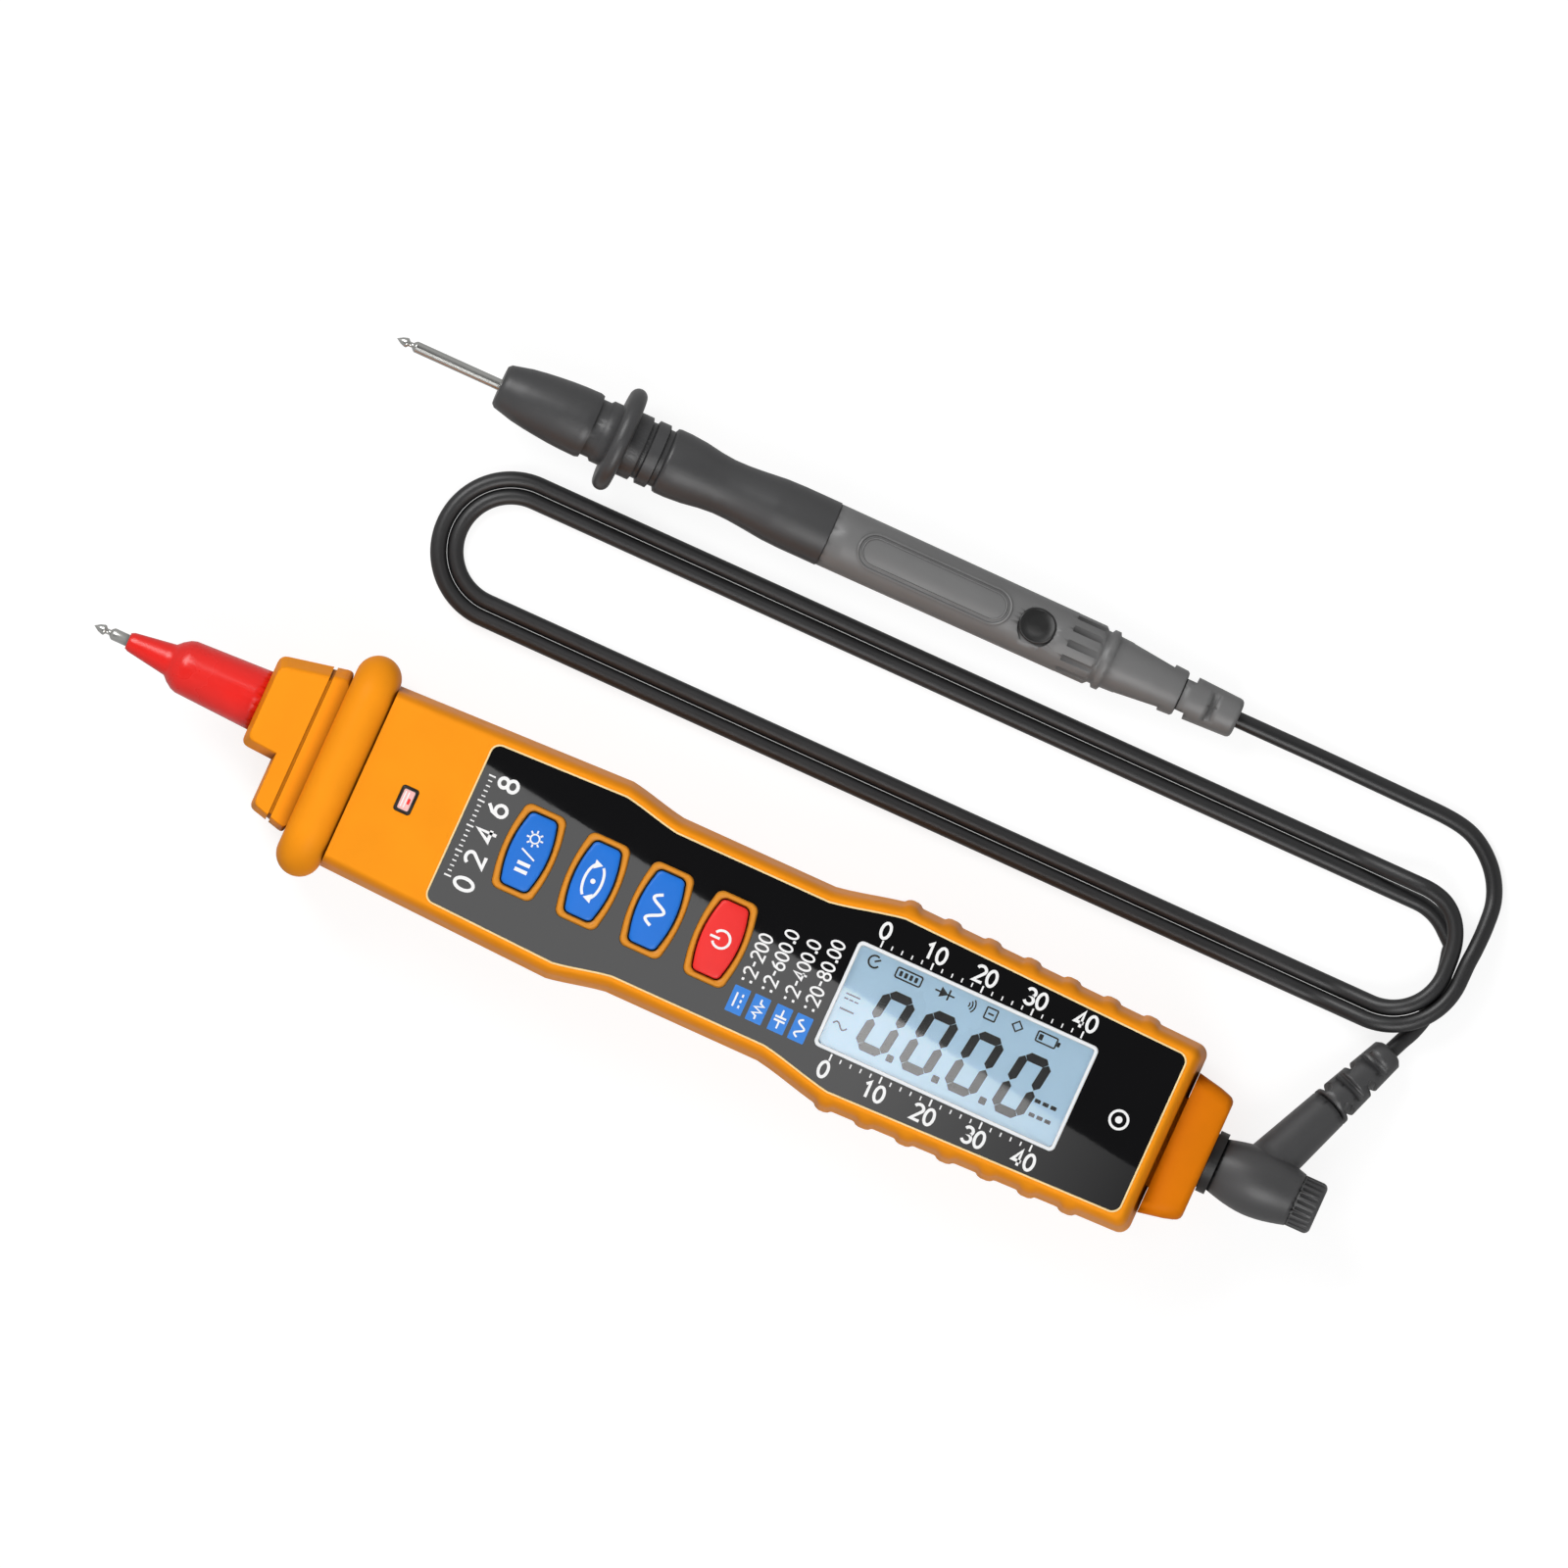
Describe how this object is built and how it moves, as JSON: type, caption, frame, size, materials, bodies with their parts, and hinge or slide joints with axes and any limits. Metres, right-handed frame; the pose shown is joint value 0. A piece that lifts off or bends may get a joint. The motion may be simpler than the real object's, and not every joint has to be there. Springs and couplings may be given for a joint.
{
  "type": "pen multimeter with test lead",
  "caption": "Pen-shaped digital multimeter on its back, with its needle probe, display, keys and finger guard, and a coiled test lead with a needle pen plugged into its rear jack.",
  "frame": {"origin": "middle of the meter without its lead, on the surface that it lies on", "axes": "+X from the needle to the jack, +Y towards the test pen, +Z out of the meter's face"},
  "size_m": [0.2268, 0.0952, 0.028],
  "materials": {
    "orange_plastic": "fine textured moulding",
    "panel_plastic": "glossy printed panel",
    "white_plastic": "plain moulding",
    "display_window": "clear glossy window",
    "display_cell": "pale blue display cell",
    "strip_rubber": "layered contact strip",
    "board": "solder mask",
    "component_black": "moulded housing",
    "button_blue": "satin cap",
    "button_red": "satin cap",
    "light_window": "milky window",
    "light_body": "red lamp body",
    "contact_brass": "plain",
    "sleeve_red": "glossy insulating sleeve",
    "needle_steel": "polished",
    "fastener_steel": "plated",
    "ceramic_blue": "coated disc",
    "cell_jacket": "plain jacket",
    "plug_grey": "satin moulding",
    "plug_black": "smooth",
    "cord_rubber": "satin sheath",
    "pen_black": "satin moulding",
    "pen_grey": "satin moulding"
  },
  "bodies": {
    "meter": {"front_shell": "orange_plastic", "rear_shell": "orange_plastic", "finger_guard": "orange_plastic", "nose_cap": "orange_plastic", "jack_housing": "orange_plastic", "panel_overlay": "panel_plastic", "lcd_bezel": "white_plastic", "lcd_lens": "display_window", "lcd_glass": "display_cell", "backlight_panel": "white_plastic", "zebra_strip": "strip_rubber", "main_pcb": "board", "mcu_chip": "component_black", "tact_switches": "component_black", "led_bezel": "component_black", "led_lens": "light_window", "indicator_led": "light_body", "ncv_antenna": "contact_brass", "probe_sleeve": "sleeve_red", "probe_needle": "needle_steel", "probe_contact": "contact_brass", "jack_insulator": "component_black", "jack_sleeve": "contact_brass", "jack_tab": "contact_brass", "buzzer": "component_black", "ptc_thermistor": "ceramic_blue", "battery_tray": "component_black", "battery_cells": "cell_jacket", "battery_springs": "fastener_steel", "battery_plates": "fastener_steel", "case_screws": "fastener_steel"},
    "button_hold": {"button_hold": "button_blue"},
    "button_select": {"button_select": "button_blue"},
    "button_hz": {"button_hz": "button_blue"},
    "button_power": {"button_power": "button_red"},
    "battery_door": {"battery_door": "orange_plastic", "battery_door_screw": "fastener_steel"},
    "test_lead": {"plug_body": "plug_grey", "plug_collar": "plug_black", "plug_shroud": "plug_black", "plug_pin": "contact_brass", "plug_end_cap": "plug_grey", "plug_strain_relief": "plug_grey", "cable_plug_tail": "cord_rubber", "cable_hank": "cord_rubber", "cable_pen_tail": "cord_rubber", "pen_needle": "needle_steel", "pen_nose": "pen_black", "pen_guard": "pen_black", "pen_grip": "pen_black", "pen_handle": "pen_grey", "pen_end_cap": "pen_grey", "pen_inlay": "pen_black"}
  },
  "joints": [
    {"name": "button_hold_press", "type": "slide", "parent": "meter", "child": "button_hold", "axis": [0, 0, -1], "range_m": [0, 0.0008], "stiffness_N_per_m": 300, "springref_m": -0.0005},
    {"name": "button_select_press", "type": "slide", "parent": "meter", "child": "button_select", "axis": [0, 0, -1], "range_m": [0, 0.0008], "stiffness_N_per_m": 300, "springref_m": -0.0005},
    {"name": "button_hz_press", "type": "slide", "parent": "meter", "child": "button_hz", "axis": [0, 0, -1], "range_m": [0, 0.0008], "stiffness_N_per_m": 300, "springref_m": -0.0005},
    {"name": "button_power_press", "type": "slide", "parent": "meter", "child": "button_power", "axis": [0, 0, -1], "range_m": [0, 0.0008], "stiffness_N_per_m": 300, "springref_m": -0.0005},
    {"name": "battery_door_lift", "type": "slide", "parent": "meter", "child": "battery_door", "axis": [0, 0, -1], "range_m": [0, 0.012]},
    {"name": "plug_pull", "type": "slide", "parent": "meter", "child": "test_lead", "axis": [1, 0, 0], "range_m": [0, 0.028]}
  ]
}
